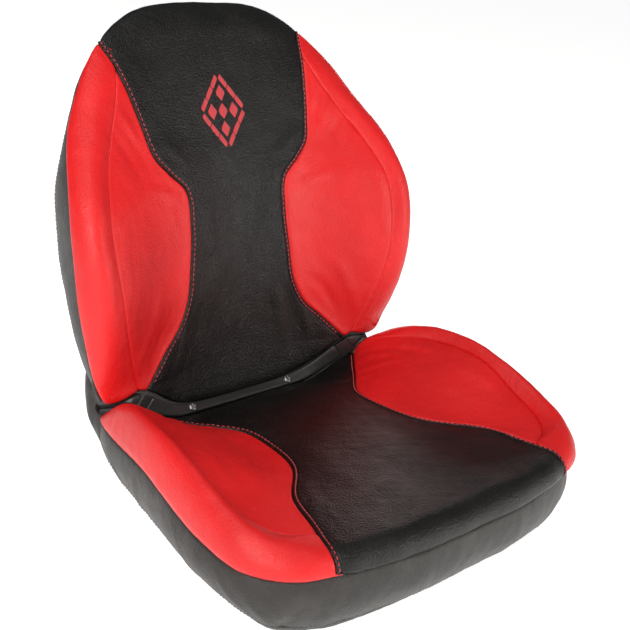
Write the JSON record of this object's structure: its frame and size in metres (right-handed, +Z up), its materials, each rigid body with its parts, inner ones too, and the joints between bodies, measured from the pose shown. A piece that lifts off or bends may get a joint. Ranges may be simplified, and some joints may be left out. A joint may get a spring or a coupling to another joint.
{
  "type": "bucket seat with fixed back",
  "caption": "Upholstered bucket seat with fixed backrest and raised side bolsters, two-tone vinyl panels with stitched seams, and a clamping strip in the crease.",
  "frame": {"origin": "middle of the footprint, on the plane the seat stands on", "axes": "+X is the sitter's left and square to the seat's mirror plane, the sitter faces -Y, +Z is up"},
  "size_m": [0.5184, 0.554, 0.5359],
  "materials": {
    "black_vinyl": "satin grained vinyl",
    "red_vinyl": "satin grained vinyl",
    "mesh_fabric": "knitted spacer mesh",
    "red_thread": "polyester thread",
    "foam": "open-cell foam",
    "painted_steel": "satin black paint",
    "black_plastic": "satin",
    "zinc": "zinc plated"
  },
  "bodies": {
    "root": {"seat_center_panel": "black_vinyl", "seat_left_inner_bolster": "red_vinyl", "seat_right_inner_bolster": "red_vinyl", "seat_left_outer_bolster": "red_vinyl", "seat_right_outer_bolster": "red_vinyl", "back_center_panel": "black_vinyl", "back_left_inner_bolster": "red_vinyl", "back_right_inner_bolster": "red_vinyl", "back_left_outer_bolster": "red_vinyl", "back_right_outer_bolster": "red_vinyl", "seat_boxing": "black_vinyl", "back_boxing": "black_vinyl", "seat_hem_strip": "black_vinyl", "bight_panel": "mesh_fabric", "bight_strip": "black_plastic", "seat_foam": "foam", "back_foam": "foam", "seat_pan": "painted_steel", "back_pan": "painted_steel", "back_rear_cover": "black_vinyl", "left_hip_gusset": "black_vinyl", "left_bight_screw": "zinc", "left_clip_nut": "zinc", "left_back_strap": "painted_steel", "left_seat_strap_bolt_1": "zinc", "left_seat_strap_bolt_2": "zinc", "left_back_strap_bolt_1": "zinc", "left_back_strap_bolt_2": "zinc", "right_hip_gusset": "black_vinyl", "right_bight_screw": "zinc", "right_clip_nut": "zinc", "right_back_strap": "painted_steel", "right_seat_strap_bolt_1": "zinc", "right_seat_strap_bolt_2": "zinc", "right_back_strap_bolt_1": "zinc", "right_back_strap_bolt_2": "zinc", "cover_push_rivet_1": "black_plastic", "cover_push_rivet_2": "black_plastic", "cover_push_rivet_3": "black_plastic", "cover_push_rivet_4": "black_plastic", "cover_push_rivet_5": "black_plastic", "cover_push_rivet_6": "black_plastic", "rear_apron": "black_vinyl", "left_mounting_channel": "painted_steel", "left_weld_nut_1": "zinc", "left_weld_nut_2": "zinc", "left_channel_rivet_1": "zinc", "left_channel_rivet_2": "zinc", "right_mounting_channel": "painted_steel", "right_weld_nut_1": "zinc", "right_weld_nut_2": "zinc", "right_channel_rivet_1": "zinc", "right_channel_rivet_2": "zinc", "seat_hem_channel": "black_plastic", "back_emblem": "red_thread"}
  },
  "joints": []
}
